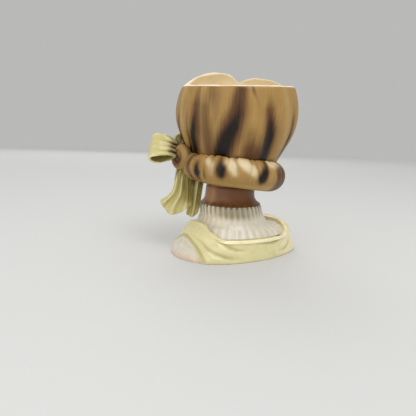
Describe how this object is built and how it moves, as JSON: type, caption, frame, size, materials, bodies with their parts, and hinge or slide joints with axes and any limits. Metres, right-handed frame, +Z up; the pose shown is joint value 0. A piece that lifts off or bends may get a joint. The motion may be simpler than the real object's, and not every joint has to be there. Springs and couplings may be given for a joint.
{
  "type": "head planter",
  "caption": "Small slip-cast lady's head planter: swept-up hair is the open bowl, with a hair roll, ribbon bow, ribbed collar and scooped dress.",
  "frame": {"origin": "centre of the flat underside of the bust, on the surface it stands on", "axes": "+Z up, -Y the way the bust faces, +X to the lady's left"},
  "size_m": [0.1493, 0.1158, 0.1745],
  "materials": {
    "bare_clay": "matte",
    "white_glaze": "gloss",
    "yellow_glaze": "gloss",
    "hem_glaze": "gloss",
    "skin_glaze": "satin",
    "hair_glaze": "gloss",
    "roll_glaze": "gloss",
    "ribbon_glaze": "gloss"
  },
  "bodies": {
    "root": {"base_plate": "bare_clay", "blouse_yoke": "white_glaze", "sleeve_left": "white_glaze", "sleeve_right": "white_glaze", "dress_bodice": "yellow_glaze", "neckline_hem": "hem_glaze", "neck": "skin_glaze", "blouse_collar": "white_glaze", "face": "skin_glaze", "back_hair": "hair_glaze", "front_hair_left": "hair_glaze", "front_hair_right": "hair_glaze", "hair_roll": "roll_glaze", "hair_curl": "hair_glaze", "bow_knot": "ribbon_glaze", "bow_loop_rear": "ribbon_glaze", "bow_loop_front": "ribbon_glaze", "ribbon_tail_long": "ribbon_glaze", "ribbon_tail_short": "ribbon_glaze"}
  },
  "joints": []
}
